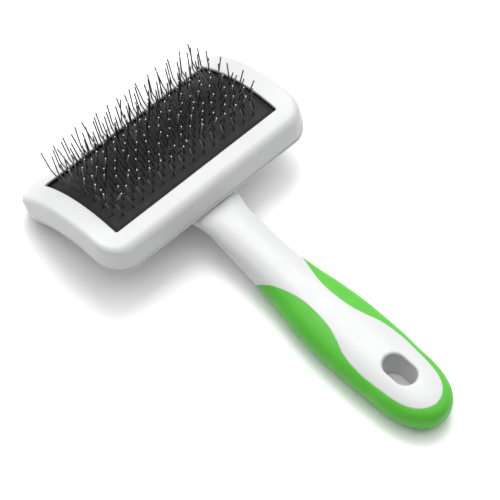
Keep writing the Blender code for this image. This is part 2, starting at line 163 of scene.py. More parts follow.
def soft_green():
    """Soft-touch overmould: matte skin with a very fine grain and slight handling sheen."""
    ma, nt, bsdf, co = new_material("green_tpe_soft_touch")
    cloud = noise(nt, co, 55.0, 4.0)
    nt.links.new(ramp(nt, cloud, [(0.28, (0.060, 0.400, 0.017)), (0.72, (0.078, 0.445, 0.024))]),
                 bsdf.inputs["Base Color"])
    grain = noise(nt, co, 3600.0, 3.0, 0.65)
    wear = noise(nt, co, 160.0, 5.0, 0.6)
    nt.links.new(remap(nt, wear, 0.44, 0.60), bsdf.inputs["Roughness"])
    bump(nt, bsdf, grain, 0.22, 0.00006)
    bsdf.inputs["Specular IOR Level"].default_value = 0.45
    bsdf.inputs["Sheen Weight"].default_value = 0.10
    bsdf.inputs["Sheen Roughness"].default_value = 0.45
    return ma


def black_rubber():
    """Moulded sheet rubber with a pebbled skin and dusty streaks."""
    ma, nt, bsdf, co = new_material("black_rubber_sheet")
    dust = noise(nt, co, 210.0, 6.0, 0.65)
    nt.links.new(ramp(nt, dust, [(0.35, (0.004, 0.004, 0.0045)), (0.68, (0.012, 0.0115, 0.0115))]),
                 bsdf.inputs["Base Color"])
    pebble = nt.nodes.new("ShaderNodeTexVoronoi")
    pebble.inputs["Scale"].default_value = 2600.0
    nt.links.new(co, pebble.inputs["Vector"])
    nt.links.new(remap(nt, dust, 0.42, 0.66), bsdf.inputs["Roughness"])
    n = bump(nt, bsdf, pebble.outputs["Distance"], 0.25, 0.00006)
    bump(nt, bsdf, dust, 0.25, 0.00020, n)
    bsdf.inputs["Specular IOR Level"].default_value = 0.22
    return ma


def pin_wire():
    """Drawn wire: darker tempered patches and fine drawing marks along its length."""
    ma, nt, bsdf, co = new_material("pin_wire_drawn")
    mark = noise(nt, co, 700.0, 4.0, 0.6, (1.0, 1.0, 0.18))
    nt.links.new(ramp(nt, mark, [(0.30, (0.15, 0.15, 0.155)), (0.70, (0.28, 0.275, 0.27))]),
                 bsdf.inputs["Base Color"])
    nt.links.new(remap(nt, mark, 0.24, 0.40), bsdf.inputs["Roughness"])
    bump(nt, bsdf, mark, 0.15, 0.00003)
    bsdf.inputs["Metallic"].default_value = 1.0
    return ma


def pin_tip():
    """Cut and ground end of the wire, coloured far brighter than the shaft: partly bare ground steel, partly a painted
    highlight for the bright dots at the tips.
    """
    ma, nt, bsdf, co = new_material("pin_tip_ground_and_painted_highlight")
    mark = noise(nt, co, 9000.0, 2.0)
    # painted highlight: the tip's base colour is kept far brighter than the wire's so the cut ends read as bright dots
    nt.links.new(ramp(nt, mark, [(0.30, (0.74, 0.74, 0.74)), (0.70, (0.90, 0.90, 0.89))]),
                 bsdf.inputs["Base Color"])
    nt.links.new(remap(nt, mark, 0.22, 0.34), bsdf.inputs["Roughness"])
    bsdf.inputs["Metallic"].default_value = 0.9
    return ma


def zinc():
    ma, nt, bsdf, co = new_material("zinc_plated_steel")
    spangle = nt.nodes.new("ShaderNodeTexVoronoi")
    spangle.inputs["Scale"].default_value = 1500.0
    nt.links.new(co, spangle.inputs["Vector"])
    nt.links.new(ramp(nt, spangle.outputs["Distance"], [(0.2, (0.52, 0.53, 0.53)), (0.8, (0.66, 0.66, 0.63))]),
                 bsdf.inputs["Base Color"])
    rub = noise(nt, co, 1200.0, 4.0)
    nt.links.new(remap(nt, rub, 0.28, 0.46), bsdf.inputs["Roughness"])
    bump(nt, bsdf, rub, 0.12, 0.00004)
    bsdf.inputs["Metallic"].default_value = 1.0
    return ma


def cloth():
    """Plain-woven foundation cloth."""
    ma, nt, bsdf, co = new_material("foundation_cloth_weave")
    waves = []
    for direction in ("X", "Y"):
        w = nt.nodes.new("ShaderNodeTexWave")
        w.bands_direction = direction
        w.inputs["Scale"].default_value = 320.0
        w.inputs["Distortion"].default_value = 0.6
        w.inputs["Detail"].default_value = 1.0
        nt.links.new(co, w.inputs["Vector"])
        waves.append(w.outputs["Fac"])
    mx = nt.nodes.new("ShaderNodeMath")
    mx.operation = "MAXIMUM"
    nt.links.new(waves[0], mx.inputs[0])
    nt.links.new(waves[1], mx.inputs[1])
    nt.links.new(ramp(nt, mx.outputs[0], [(0.2, (0.17, 0.15, 0.12)), (0.9, (0.40, 0.36, 0.29))]),
                 bsdf.inputs["Base Color"])
    bump(nt, bsdf, mx.outputs[0], 0.6, 0.0002)
    bsdf.inputs["Roughness"].default_value = 0.92
    bsdf.inputs["Sheen Weight"].default_value = 0.2
    return ma


def foam():
    """Grey open-cell foam."""
    ma, nt, bsdf, co = new_material("grey_foam_cells")
    cell = nt.nodes.new("ShaderNodeTexVoronoi")
    cell.inputs["Scale"].default_value = 1300.0
    nt.links.new(co, cell.inputs["Vector"])
    nt.links.new(ramp(nt, cell.outputs["Distance"], [(0.05, (0.06, 0.06, 0.065)), (0.5, (0.25, 0.25, 0.26))]),
                 bsdf.inputs["Base Color"])
    bump(nt, bsdf, cell.outputs["Distance"], 0.8, 0.0003)
    bsdf.inputs["Roughness"].default_value = 0.95
    return ma


WHITE, GREEN, RUBBER_MA, WIRE_MA = plastic_white(), soft_green(), black_rubber(), pin_wire()
TIP_MA, ZINC, CLOTH_MA, FOAM_MA = pin_tip(), zinc(), cloth(), foam()


# ---- mesh helpers ------------------------------------------------------------
class Mesh:
    """Points merged where they coincide, and faces with a material index."""

    def __init__(self, to_world):
        self.to_world = to_world
        self.verts, self.index, self.faces, self.mats = [], {}, [], []

    def point(self, p):
        key = (round(p[0], 4), round(p[1], 4), round(p[2], 4))
        if key not in self.index:
            self.index[key] = len(self.verts)
            self.verts.append(self.to_world(p))
        return self.index[key]

    def face(self, pts, mat=0):
        ids = []
        for p in pts:
            i = self.point(p)
            if not ids or ids[-1] != i:
                ids.append(i)
        while len(ids) > 1 and ids[0] == ids[-1]:
            ids.pop()
        if len(ids) >= 3 and len(set(ids)) == len(ids):
            self.faces.append(ids)
            self.mats.append(mat)

    def strip(self, a, b, mat=0, closed=False):
        n = len(a)
        for i in range(n if closed else n - 1):
            j = (i + 1) % n
            self.face((a[i], a[j], b[j], b[i]), mat)

    def build(self, name, mats, node=None, slot=None, sharp=35.0):
        me = bpy.data.meshes.new(name)
        me.from_pydata(self.verts, [], self.faces)
        for ma in mats:
            me.materials.append(ma)
        me.polygons.foreach_set("material_index", self.mats)
        bm = bmesh.new()
        bm.from_mesh(me)
        bmesh.ops.recalc_face_normals(bm, faces=bm.faces)
        if bm.calc_volume(signed=True) < 0:
            bmesh.ops.reverse_faces(bm, faces=bm.faces)
        bm.to_mesh(me)
        bm.free()
        me.shade_smooth()
        me.set_sharp_from_angle(angle=math.radians(sharp))
        ob = bpy.data.objects.new(name, me)
        bpy.context.scene.collection.objects.link(ob)
        if node:
            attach(ob, "root")
            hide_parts(node)
        return ob


def apply_booleans(ob, cutters, sharp):
    for c, how in cutters:
        m = ob.modifiers.new(c.name, "BOOLEAN")
        m.operation, m.solver, m.object = how, "EXACT", c
    dg = bpy.context.evaluated_depsgraph_get()
    me = bpy.data.meshes.new_from_object(ob.evaluated_get(dg))
    ob.modifiers.clear()
    old = ob.data
    ob.data = me
    bpy.data.meshes.remove(old)
    for c, _ in cutters:
        if c.name in bpy.data.objects:
            bpy.data.objects.remove(c, do_unlink=True)
    bm = bmesh.new()
    bm.from_mesh(me)
    bmesh.ops.remove_doubles(bm, verts=bm.verts, dist=1e-7)
    bmesh.ops.dissolve_degenerate(bm, dist=1e-7, edges=bm.edges)
    bm.to_mesh(me)
    bm.free()
    me.shade_smooth()
    me.set_sharp_from_angle(angle=math.radians(sharp))


# ---- head --------------------------------------------------------------------
def on_head(x, y, r):
    rad = HEAD_RADIUS - r
    return (x, y, math.sqrt(rad * rad - y * y) - HEAD_RADIUS)


def half_loop(hx, hy, rc, r, shift=0.0, corner=14, side=30):
    pts = []
    for k in range(corner + 1):
        a = math.radians(-90 + 90 * k / corner)
        pts.append((hx - rc + rc * math.cos(a), -hy + rc + rc * math.sin(a)))
    for k in range(1, side):
        pts.append((hx, (-1 + 2 * k / side) * (hy - rc)))
    for k in range(corner + 1):
        a = math.radians(90 * k / corner)
        pts.append((hx - rc + rc * math.cos(a), hy - rc + rc * math.sin(a)))
    return [on_head(x, y + shift, r) for x, y in pts]


def loop(hx, hy, rc, r, shift=0.0):
    half = half_loop(hx, hy, rc, r, shift)
    return half + [(-x, y, z) for x, y, z in reversed(half)]


def deck(mesh, ring, mat=0):
    n = len(ring)
    for i in range(n // 2 - 1):
        a, b = ring[i], ring[i + 1]
        mesh.face((a, b, (-b[0], b[1], b[2]), (-a[0], a[1], a[2])), mat)


def arc(steps):
    """Quarter-circle fractions (along the wall, into the corner) from 0 to 1."""
    return [(math.sin(math.pi / 2 * k / steps), 1 - math.cos(math.pi / 2 * k / steps)) for k in range(steps + 1)]


def make_bezel():
    hx, hy = HEAD_HALF
    wx, wy = WINDOW_HALF
    rings = []
    for s, c in reversed(arc(4)):                        # rounded lower edge at the seam
        rings.append((hx + 0.8 - 0.45 * c, hy - 1.6 - 0.45 * c, HEAD_CORNER + 0.6, SEAM_DEPTH - 0.45 * (1 - s), 0.3))
    for k in range(1, 6):                                # drafted side wall
        f = k / 5
        rings.append((hx + 0.8 * (1 - f), hy - 1.6 * (1 - f), HEAD_CORNER + 0.6 * (1 - f),
                      (SEAM_DEPTH - 0.45) * (1 - f) + 2.5 * f, 0.3 * (1 - f) + HEAD_SHIFT * f))
    for s, c in arc(10)[1:]:                             # large outer fillet
        rings.append((hx - 2.5 * c, hy - 2.5 * c, HEAD_CORNER - 2.5 * c, 2.5 - 2.5 * s, HEAD_SHIFT))
    rings.append((hx - 3.4, hy - 3.4, HEAD_CORNER - 3.4, 0.0, HEAD_SHIFT))
    rings.append((wx + 1.3, wy + 1.3, 2.1, 0.0))
    for s, c in arc(6):                                  # rounded inner edge of the frame
        rings.append((wx + 0.55 * (1 - s), wy + 0.55 * (1 - s), 1.35 - 0.55 * s, 0.55 * c))
    rings += [(wx, wy, 0.8, LIP_DEPTH - 0.12), (wx + 0.12, wy + 0.12, 0.92, LIP_DEPTH),
              (PAD_HALF[0] + 0.3, PAD_HALF[1] + 0.3, 3.3, LIP_DEPTH),
              (PAD_HALF[0] + 0.3, PAD_HALF[1] + 0.3, 3.3, 5.7), (53.4, 30.7, 7.0, 5.7), (53.4, 30.7, 7.0, SEAM_DEPTH)]
    mesh = Mesh(head_to_world)
    loops = [loop(*r) for r in rings]
    for a, b in zip(loops, loops[1:] + loops[:1]):
        mesh.strip(a, b, closed=True)
    return mesh.build("bezel_frame", [WHITE], "head_bezel", "white_abs", 40)


def make_back():
    px, py = PAD_HALF[0] + 0.6, PAD_HALF[1] + 0.3
    rings = []
    bottom = (56.3, 31.0, 10.5, HEAD_DEPTH)
    rings.append(bottom)
    for s, c in arc(7):                                  # rounded lower edge
        rings.append((56.3 + 1.25 * s, 31.0 + 1.35 * s, 10.5 + 1.1 * s, HEAD_DEPTH - 1.2 * c, 0.1 * s))
    rings.append((57.8, 33.15, 11.6, FLOOR + 0.55, 0.2))
    for s, c in arc(4):                                  # rounded edge at the seam
        rings.append((57.8 - 0.55 * c, 33.15 - 0.55 * c, 11.6 - 0.55 * c, FLOOR + 0.50 - 0.50 * s, 0.2))
    rings += [(53.1, 30.4, 6.7, FLOOR), (53.1, 30.4, 6.7, 6.0), (px, py, 3.6, 6.0), (px, py, 3.6, FLOOR)]
    mesh = Mesh(head_to_world)
    loops = [loop(*r) for r in rings]
    for a, b in zip(loops, loops[1:]):
        mesh.strip(a, b, closed=True)
    deck(mesh, loops[0])
    deck(mesh, loops[-1])
    shell = mesh.build("back_shell", [WHITE], "head_back_shell", "white_abs", 40)
    cuts = []
    for i, y in enumerate(SCREWS):
        under = HEAD_RADIUS - math.sqrt((HEAD_RADIUS - HEAD_DEPTH) ** 2 - y * y)
        cuts.append((tube("boss_%d" % i, y, under - 1.0, under + 3.5, 3.3, 40), "UNION"))
        cuts.append((tube("bore_%d" % i, y, under - 1.5, under + 5.0, 1.55, 28), "DIFFERENCE"))
    apply_booleans(shell, cuts, 40)
    return shell


def tube(name, y, r0, r1, radius, sides):
    mesh = Mesh(head_to_world)
    rings = [[(radius * math.cos(2 * math.pi * (k + 0.31) / sides),
               y + radius * math.sin(2 * math.pi * (k + 0.31) / sides), -r) for k in range(sides)] for r in (r0, r1)]
    mesh.strip(rings[0], rings[1], closed=True)
    mesh.face(rings[0])
    mesh.face(rings[1])
    return mesh.build(name, [WHITE])


# ---- pad ---------------------------------------------------------------------
def row_angle(j):
    return (FIRST_ROW + j * ROW_PITCH) / (HEAD_RADIUS - RUBBER[0])


def row_pins(j):
    n = 14 if j % 2 == 0 else 15
    return [(i - (n - 1) / 2) * PIN_PITCH for i in range(n)]


def wobble(x, y):
    """Slow unevenness of the stretched rubber, -1 to 1."""
    return (math.sin(0.31 * x + 1.7 * math.sin(0.11 * y)) * math.sin(0.37 * y + 0.9)
            + 0.5 * math.sin(0.83 * x - 0.41 * y)) / 1.5


def smooth_step(t):
    t = max(0.0, min(1.0, t))
    return t * t * (3 - 2 * t)


def pad_depth(x, y):
    """Depth of the rubber's surface: pressed down along the frame, proud inside."""
    edge = min(WINDOW_HALF[0] - abs(x), WINDOW_HALF[1] - abs(y))
    step = smooth_step((edge - 1.4) / 0.9)
    crown = (1 - (x / 50) ** 2) * (1 - (y / 28.6) ** 2)
    return RUBBER[0] + 0.42 * (1 - step) - 0.30 * max(0.0, crown) + 0.05 * wobble(x, y)


def layer(name, half, top, bottom, nx, ny, mats, node, slot_name, rounding=0.25):
    """A closed sheet that follows the head's arch; top and bottom are depth functions."""
    mesh = Mesh(head_to_world)
    xs = [(-1 + 2 * i / nx) * half[0] for i in range(nx + 1)]
    ys = [(-1 + 2 * i / ny) * half[1] for i in range(ny + 1)]
    grids = []
    for depth, sign in ((top, 1), (bottom, -1)):
        grids.append([[on_head(x, y, depth(x, y)) for x in xs] for y in ys])
    for g in grids:
        for a, b in zip(g, g[1:]):
            mesh.strip(a, b)

    def border(g):
        return ([g[0][i] for i in range(nx)] + [g[i][nx] for i in range(ny)]
                + [g[ny][nx - i] for i in range(nx)] + [g[ny - i][0] for i in range(ny)])
    a, b = border(grids[0]), border(grids[1])
    mid = []
    for p, q in zip(a, b):
        m = [(u + v) / 2 for u, v in zip(p, q)]
        m[0] += rounding * (1 if p[0] > half[0] - 1e-6 else -1 if p[0] < -half[0] + 1e-6 else 0)
        m[1] += rounding * (1 if p[1] > half[1] - 1e-6 else -1 if p[1] < -half[1] + 1e-6 else 0)
        mid.append(tuple(m))
    mesh.strip(a, mid, closed=True)
    mesh.strip(mid, b, closed=True)
    return mesh, mats, node, slot_name, name


def make_pad():
    mesh, mats, node, slot_name, name = layer(
        "pad_rubber", (49.0, 27.6), pad_depth, lambda x, y: RUBBER[1], 160, 96,
        [RUBBER_MA], "pad_rubber_face", "black_rubber")
    for j in range(ROWS):                                # the rubber puckers round each pin
        th = row_angle(j)
        for x in row_pins(j):
            rings = []
            for rad, up in ((0.78, -0.06), (0.60, 0.02), (0.44, 0.10), (0.31, 0.07), (0.26, -0.10)):
                ring = []
                for k in range(12):
                    a = 2 * math.pi * k / 12
                    px = x + rad * math.cos(a)
                    arc_y = (HEAD_RADIUS - RUBBER[0]) * th + rad * math.sin(a)
                    py = (HEAD_RADIUS - RUBBER[0]) * math.sin(arc_y / (HEAD_RADIUS - RUBBER[0]))
                    ring.append(on_head(px, py, pad_depth(px, py) - up))
                rings.append(ring)
            for a, b in zip(rings, rings[1:]):
                mesh.strip(a, b, closed=True)
            mesh.face(rings[0])
            mesh.face(rings[-1])
    pad = mesh.build(name, mats, node, slot_name, 50)
    mesh, mats, node, slot_name, name = layer(
        "foundation_cloth", (49.4, 28.0), lambda x, y: CLOTH[0], lambda x, y: CLOTH[1], 60, 40,
        [CLOTH_MA], "pad_cloth_foundation", "foundation_cloth", 0.1)
    mesh.build(name, mats, node, slot_name, 50)
    mesh, mats, node, slot_name, name = layer(
        "foam_cushion", (48.6, 27.2), lambda x, y: FOAM[0] + 0.05 * wobble(2 * x, 2 * y),
        lambda x, y: FOAM[1], 80, 48, [FOAM_MA], "pad_foam_cushion", "grey_foam", 0.7)
    ob = mesh.build(name, mats, node, slot_name, 50)


# ---- pins --------------------------------------------------------------------
def sweep(mesh, path, radius, sides, mat=0, start_cap=True, tip=None):
    """A round tube along a path of points, with frames carried along it."""
    n = len(path)
    tangents = []
    for i in range(n):
        a, b = path[max(0, i - 1)], path[min(n - 1, i + 1)]
        tangents.append((b - a).normalized())
    side = tangents[0].orthogonal().normalized()
    rings = []
    for i in range(n):
        t = tangents[i]
        side = (side - t * side.dot(t)).normalized()
        other = t.cross(side)
        rings.append([tuple(path[i] + (side * math.cos(2 * math.pi * k / sides)
                                       + other * math.sin(2 * math.pi * k / sides)) * radius) for k in range(sides)])
    for a, b in zip(rings, rings[1:]):
        mesh.strip(a, b, mat, closed=True)
    if start_cap:
        mesh.face(rings[0], mat)
    last, t = rings[-1], tangents[-1]
    c = path[-1]
    chamfer = [tuple(c + (Vector(p) - c) * 0.72 + t * radius * 0.42) for p in last]
    flat = [tuple(c + (Vector(p) - c) * 0.30 + t * radius * 0.62) for p in last]
    mesh.strip(last, chamfer, 1 if tip else mat, closed=True)
    mesh.strip(chamfer, flat, 1 if tip else mat, closed=True)
    mesh.face(flat, 1 if tip else mat)


def bend(p0, p1, p2, radius, steps):
    """Points of the path p0-p1-p2 with the corner at p1 rounded."""
    a, b = (p0 - p1).normalized(), (p2 - p1).normalized()
    ang = a.angle(b)
    cut = min(radius / math.tan(ang / 2), 0.45 * (p0 - p1).length, 0.45 * (p2 - p1).length)
    s, e = p1 + a * cut, p1 + b * cut
    out = []
    for k in range(steps + 1):
        t = k / steps
        out.append(s * (1 - t) ** 2 + p1 * (2 * t * (1 - t)) + e * t ** 2)
    return out


STRAYS = {(0, 0): (9, 6), (0, 7): (-16, 8), (3, 13): (14, 26), (5, 14): (-10, 20), (13, 3): (9, -10),
          (13, 9): (-8, 9), (12, 6): (10, -8), (11, 1): (-9, -9), (8, 14): (12, 14), (2, 0): (-14, -12)}


def make_pins():
    centre = Vector((0, 0, -HEAD_RADIUS))
    for j in range(ROWS):
        th = row_angle(j)
        nrm = Vector((0, math.sin(th), math.cos(th)))
        tan = Vector((0, math.cos(th), -math.sin(th)))
        mesh = Mesh(head_to_world)
        for i, x in enumerate(row_pins(j)):
            rng = random.Random(100 * j + i)
            d_low, d_high = rng.gauss(0, 2.4), rng.gauss(0, 3.4)
            s_low, s_high = rng.gauss(0, 0.030), rng.gauss(0, 0.050)
            extra = STRAYS.get((j, i), (0, 0))
            low_len = LOWER_LEG * (1 + rng.gauss(0, 0.03))
            high_len = UPPER_LEG * (1 + rng.gauss(0, 0.025))

            def lean(deg, push):
                a = math.radians(deg)
                return (nrm * math.cos(a) + tan * math.sin(a)
                        + Vector((SPLAY * x / 43.0 + push, 0, 0))).normalized()
            root = centre + nrm * (HEAD_RADIUS - 4.15) + Vector((x, 0, 0))
            foot = centre + nrm * (HEAD_RADIUS - RUBBER[0] + 0.15) + Vector((x, 0, 0))
            knee = foot + lean(LOWER_LEAN + d_low, s_low) * low_len
            tip = knee + lean(UPPER_LEAN + UPPER_EASE * j / (ROWS - 1) + d_high + 0.3 * extra[1], s_high + math.tan(math.radians(extra[0]))) * high_len
            path = [root] + bend(root, foot, knee, 0.9, 3) + bend(foot, knee, tip, 1.5, 5) + [tip]
            sweep(mesh, path, WIRE / 2 + 0.03, 10, tip=True)
        mesh.build("pins_%02d" % (j + 1), [WIRE_MA, TIP_MA], "pin_row_%02d" % (j + 1), "pin_wire", 50)


# ---- handle ------------------------------------------------------------------
def curve_value(table, y, col):
    n = len(table)
    if y >= table[0][0]:
        return table[0][col]
    if y <= table[-1][0]:
        return table[-1][col]
    for i in range(n - 1):
        if table[i][0] >= y >= table[i + 1][0]:
            break

    def slope(k):
        if k <= 0 or k >= n - 1:
            j = 0 if k <= 0 else n - 2
            return (table[j + 1][col] - table[j][col]) / (table[j + 1][0] - table[j][0])
        h0 = table[k][0] - table[k - 1][0]
        h1 = table[k + 1][0] - table[k][0]
        d0 = (table[k][col] - table[k - 1][col]) / h0
        d1 = (table[k + 1][col] - table[k][col]) / h1
        if d0 * d1 <= 0:
            return 0.0
        w0, w1 = 2 * h1 + h0, h1 + 2 * h0
        return (w0 + w1) / (w0 / d0 + w1 / d1)

    h = table[i + 1][0] - table[i][0]
    t = (y - table[i][0]) / h
    m0, m1 = slope(i) * h, slope(i + 1) * h
    a, b = table[i][col], table[i + 1][col]
    return ((2 * t ** 3 - 3 * t ** 2 + 1) * a + (t ** 3 - 2 * t ** 2 + t) * m0
            + (-2 * t ** 3 + 3 * t ** 2) * b + (t ** 3 - t ** 2) * m1)


def arch_height(y):
    cy, cz = -HEAD_RADIUS * ST, HEAD_Z - HEAD_RADIUS * CT
    rad = HEAD_RADIUS - HEAD_DEPTH
    return cz + math.sqrt(max(0.0, rad * rad - (y - cy) ** 2))


def section(y):
    half = curve_value(SECTIONS, y, 1)
    low = curve_value(SECTIONS, y, 2)
    high = curve_value(SECTIONS, y, 3)
    mid, roof = 0.5 * (low + high), 60.0
    if y > NECK_Y:
        roof = arch_height(y) - NECK_TOP_DROP
        high, mid = min(high, roof + 3.0), 0.5 * (low + roof)
    down, up = mid - low, high - mid
    if y < CAP_Y:
        u = min(1.0, (CAP_Y - y) / (CAP_Y - TIP_Y))
        s = max(0.0, 1 - u ** 2.3) ** (1 / 2.3)
        half, down, up = half * s, down * s ** 0.5, up * s ** 0.5
    return half, mid, down, up, roof


def handle_point(y, angle, inset=0.0, sec=None):
    half, mid, down, up, roof = sec or section(y)
    a = math.radians(angle)
    sx, cz = math.sin(a), -math.cos(a)
    tall = up if cz > 0 else down
    rad = (abs(sx / max(half, 1e-3)) ** SECTION_POWER
           + abs(cz / max(tall, 1e-3)) ** SECTION_POWER) ** (-1 / SECTION_POWER)
    x, z = rad * sx, mid + rad * cz
    if z < 0:
        x, z = x * mid / (mid - z), 0.0
    if z > roof:
        z = roof
    if inset:
        d = math.hypot(x, z - mid)
        k = max(0.0, d - inset) / max(d, 1e-6)
        x, z = x * k, mid + (z - mid) * k
    return (x, y, z)


def grip_angle(y):
    if y >= GRIP_EDGE[0][0]:
        return 0.0
    if y <= GRIP_EDGE[-1][0]:
        return 180.0
    return curve_value(GRIP_EDGE, y, 1)


def edge_line():
    """The line where soft grip meets hard core, as dense points 0.1 mm apart."""
    ys = np.linspace(GRIP_EDGE[0][0], GRIP_EDGE[-1][0], 7001)
    pts = np.array([handle_point(y, grip_angle(y)) for y in ys])
    s = np.concatenate([[0], np.cumsum(np.linalg.norm(np.diff(pts, axis=0), axis=1))])
    t = np.arange(0, s[-1], 0.1)
    half = np.stack([np.interp(t, s, pts[:, i]) for i in range(3)], -1)
    return np.concatenate([half, half * (-1, 1, 1)])


EDGE = edge_line()


def edge_distance(p):
    near = EDGE[np.abs(EDGE[:, 1] - p[1]) < 1.0]
    if not len(near):
        return 9.0
    return float(np.sqrt(((near - p) ** 2).sum(1).min()))


def rounded(y, angle, radius, sec):
    """A point of the handle's surface, rolled inward close to the edge line."""
    p = handle_point(y, angle, 0.0, sec)
    if -168.6 < y < -67.0:
        d = edge_distance(p)
        if d < radius:
            return handle_point(y, angle, radius - math.sqrt(radius * radius - (radius - d) ** 2), sec)
    return p


OFFSETS = (0.0, 0.05, 0.12, 0.22, 0.36, 0.6, 1.1)


def spread(a0, a1, count):
    """Angles from a0 to a1, closer together at both ends."""
    span = a1 - a0
    if span <= 0:
        return [a0] * (count + 2 * len(OFFSETS) - 1)
    ends = [min(math.degrees(o / 14.0), span * 0.02 * i) for i, o in enumerate(OFFSETS)]
    inner = [a0 + ends[-1] + (span - 2 * ends[-1]) * k / count for k in range(1, count)]
    return [a0 + e for e in ends] + inner + [a1 - e for e in reversed(ends)]


def stations():
    ys = []
    y = 9.0
    while y > -67.5:
        ys.append(y)
        y -= 1.25
    y = -67.5
    while y > -167.4:
        if -68.19 < y:
            step = 0.23
        elif y > -69.0:
            step = 0.06
        elif y > -71.0:
            step = 0.12
        elif y > -75.0:
            step = 0.3
        elif y > -162.0:
            step = 0.85
        elif y > -165.6:
            step = 0.25
        elif y > -166.8:
            step = 0.10
        else:
            step = 0.05
        ys.append(round(y, 4))
        y -= step
    return ys


def make_handle():
    first, last = GRIP_EDGE[0][0], GRIP_EDGE[-1][0]
    ys = [v for v in stations() if v > first + 0.01] + [first] + \
         [v for v in stations() if last + 0.01 < v < first - 0.01] + [last]
    deep = GRIP_SKIN + 0.35
    core = Mesh(handle_to_world)
    prev = None
    for y in ys + [-168.6, -169.6]:
        sec, g = section(y), grip_angle(y)
        hard = [rounded(y, a, 0.20, sec) for a in spread(g, 360 - g, 72)] if g < 180 \
            else [rounded(y, 180, 0.20, sec)] * (72 + 2 * len(OFFSETS) - 1)
        soft = [handle_point(y, a, deep, sec) for a in np.linspace(-g, g, 49)] if y <= first else None
        if prev:
            ph, ps, pg = prev
            done = pg == 180 and g == 180
            if not done:
                core.strip(ph, hard)
            if soft and ps:
                core.strip(ps, soft)
                if not done:
                    core.face((ph[0], hard[0], soft[-1], ps[-1]))
                    core.face((ph[-1], hard[-1], soft[0], ps[0]))
        prev = (hard, soft, g)
    sec = section(ys[0])
    nose = [handle_point(ys[0], a, 0.0, sec) for a in spread(0, 360, 72)]
    core.face(nose[:-1])
    core.face(prev[1][:-1])
    core_ob = core.build("handle_body", [WHITE], "handle_core", "white_abs", 42)

    gap = math.degrees(0.05 / 14.0)
    grip = Mesh(handle_to_world)
    prev = None
    tip_s = (0.985, 0.95, 0.90, 0.84, 0.77, 0.70, 0.62, 0.54, 0.46, 0.38, 0.30, 0.22, 0.15, 0.09, 0.04)
    ys_tip = []
    for y in [-167.6, -167.9, -168.3, -168.8] + [CAP_Y - (CAP_Y - TIP_Y) * (1 - s ** 2.3) ** (1 / 2.3) for s in tip_s]:
        if y < last - 0.15:
            ys_tip.append(y)
    ys_tip = sorted(set(round(v, 4) for v in ys_tip), reverse=True)
    end_inner = -170.0
    for y in [first - 0.05] + [v for v in ys if last < v < first - 0.06] + [last - 0.05]:
        sec, g = section(y), grip_angle(y)
        g = max(0.0, g - gap) if g < 180 else 180.0
        out = [rounded(y, a, 0.32, sec) for a in spread(-g, g, 72)]
        ins = [handle_point(y, a, GRIP_SKIN, sec) for a in np.linspace(-g, g, 49)]
        if prev:
            po, pi, pg = prev
            grip.strip(po, out)
            grip.strip(pi, ins)
            if not (pg == 180 and g == 180):
                grip.face((po[0], out[0], ins[0], pi[0]))
                grip.face((po[-1], out[-1], ins[-1], pi[-1]))
        else:
            if g > 0:
                grip.face(out + ins[::-1])
        prev = (out, ins, g)
    out = prev[0]
    for y in ys_tip:
        sec = section(y)
        ring = [rounded(y, a, 0.32, sec) for a in spread(-180, 180, 72)]
        grip.strip(out, ring)
        out = ring
    grip.face(out[:-1])
    ins = prev[1]
    for y in (-168.6, end_inner):
        sec = section(y)
        ring = [handle_point(y, a, GRIP_SKIN, sec) for a in np.linspace(-180, 180, 49)]
        grip.strip(ins, ring)
        ins = ring
    grip.face(ins[:-1])
    grip_ob = grip.build("grip_skin", [GREEN], "grip_overmould", "green_tpe", 50)

    apply_booleans(core_ob, [(stadium("sleeve", 6.8, 9.7, 0.45, 6.0), "UNION"),
                             (hole_cutter("hole_a"), "DIFFERENCE")] + screw_pockets(), 42)
    apply_booleans(grip_ob, [(stadium("grip_hole", 6.9, 9.8, -3.0, 10.0), "DIFFERENCE")], 50)


def stadium(name, w, l, low, high, sides=72):
    """A slot-shaped prism round the hanging hole's axis."""
    mesh, rings = Mesh(handle_to_world), []
    for z in (low, high):
        rings.append([(w * math.cos(2 * math.pi * (k + 0.31) / sides),
                       HOLE_Y + (l - w) * (1 if (k + 0.31) < sides / 2 else -1)
                       + w * math.sin(2 * math.pi * (k + 0.31) / sides), z) for k in range(sides)])
    mesh.strip(rings[0], rings[1], closed=True)
    mesh.face(rings[0])
    mesh.face(rings[1])
    return mesh.build(name, [WHITE])


def surface_z(x, y, top):
    half, mid, down, up, roof = section(y)
    k = max(0.0, 1 - min(1.0, abs(x) / half) ** SECTION_POWER) ** (1 / SECTION_POWER)
    return mid + up * k if top else max(0.0, mid - down * k)


def hole_cutter(name, flare=1.15):
    """The hanging hole with its rolled rims, following the handle's surfaces."""
    mesh, rings, sides = Mesh(handle_to_world), [], 72
    plan = []
    for k in range(sides):
        a = 2 * math.pi * (k + 0.37) / sides
        plan.append((math.cos(a), math.sin(a)))

    def ring(grow, lift, top):
        out = []
        for c, s in plan:
            x = (HOLE_W + grow) * c
            y = HOLE_Y + (HOLE_L - HOLE_W) * (1 if s >= 0 else -1) + (HOLE_W + grow) * s
            out.append((x, y, surface_z(x, y, top) + (lift if top else -lift)))
        return out

    steps = [(flare + 0.6, 6.0), (flare + 0.6, 0.45)]
    for k in range(9):
        a = math.radians(80 * (8 - k) / 8)
        steps.append((flare - flare * math.cos(a), -flare + flare * math.sin(a)))
    for grow, lift in steps:
        rings.append(ring(grow, lift, True))
    steps_low = [(0.7 + 0.5, 4.0), (0.7 + 0.5, 0.4)]
    for k in range(7):
        a = math.radians(78 * (6 - k) / 6)
        steps_low.append((0.7 - 0.7 * math.cos(a), -0.7 + 0.7 * math.sin(a)))
    for grow, lift in reversed(steps_low):
        rings.append(ring(grow, lift, False))
    for a, b in zip(rings, rings[1:]):
        mesh.strip(a, b, closed=True)
    mesh.face(rings[0])
    mesh.face(rings[-1])
    return mesh.build(name, [WHITE])


